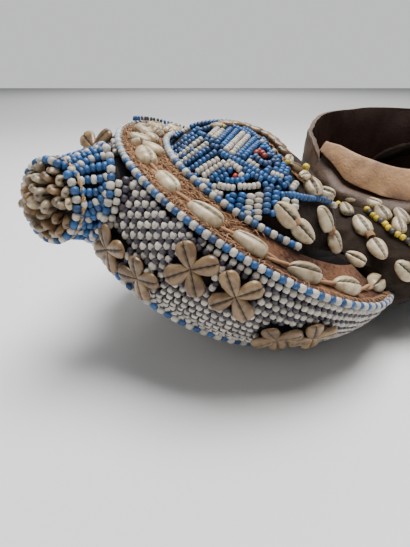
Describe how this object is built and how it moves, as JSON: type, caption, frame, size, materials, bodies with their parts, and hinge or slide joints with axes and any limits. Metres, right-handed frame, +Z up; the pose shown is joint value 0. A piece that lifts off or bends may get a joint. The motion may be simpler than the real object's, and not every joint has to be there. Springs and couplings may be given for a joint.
{
  "type": "helmet mask",
  "caption": "Beaded and cowrie-sewn helmet mask lying on its bonnet, with a short trunk stub, felt crown and standing hide collar round the neck opening.",
  "frame": {"origin": "middle of the foot of the whole part's own box, on the surface that the mask lies on", "axes": "+Z up; +X from the trunk stub towards the face end; +Y from the pictured side towards the far side"},
  "size_m": [0.392, 0.2842, 0.1551],
  "materials": {
    "beadwork": "rows of opaque off-white and near-black glass beads on dark cloth",
    "blue_bead": "opaque cobalt blue and off-white glass beads",
    "yellow_bead": "opaque yellow and dark violet glass beads",
    "cowrie": "glossy cream to tan cowrie shell",
    "raffia": "woven and twisted orange-brown raffia",
    "felt": "matted dark brown felt",
    "hide": "worn grey-brown hide with a tan flesh side"
  },
  "bodies": {
    "root": {"beaded_bonnet": "beadwork", "rear_band": "raffia", "edge_bead_string": "blue_bead", "inner_bead_string": "blue_bead", "rim_cowrie_string": "cowrie", "cowrie_rosette_1": "cowrie", "cowrie_rosette_2": "cowrie", "cowrie_rosette_3": "cowrie", "cowrie_rosette_4": "cowrie", "cowrie_rosette_5": "cowrie", "cowrie_rosette_6": "cowrie", "cowrie_rosette_7": "cowrie", "cowrie_rosette_8": "cowrie", "under_bead_string": "blue_bead", "trunk_stub": "blue_bead", "trunk_base_ring": "blue_bead", "trunk_straw_cord": "raffia", "trunk_end_ring": "blue_bead", "trunk_cowries": "cowrie", "helmet_shell": "felt", "interlace_panel": "blue_bead", "neck_collar": "hide", "collar_bead_string": "yellow_bead", "border_cowrie_string": "cowrie", "cowrie_pair_1": "cowrie", "cowrie_pair_2": "cowrie", "cowrie_pair_3": "cowrie", "cowrie_pair_4": "cowrie", "cowrie_pair_5": "cowrie", "cowrie_pair_6": "cowrie", "cowrie_pair_7": "cowrie", "face_panel": "hide"}
  },
  "joints": []
}
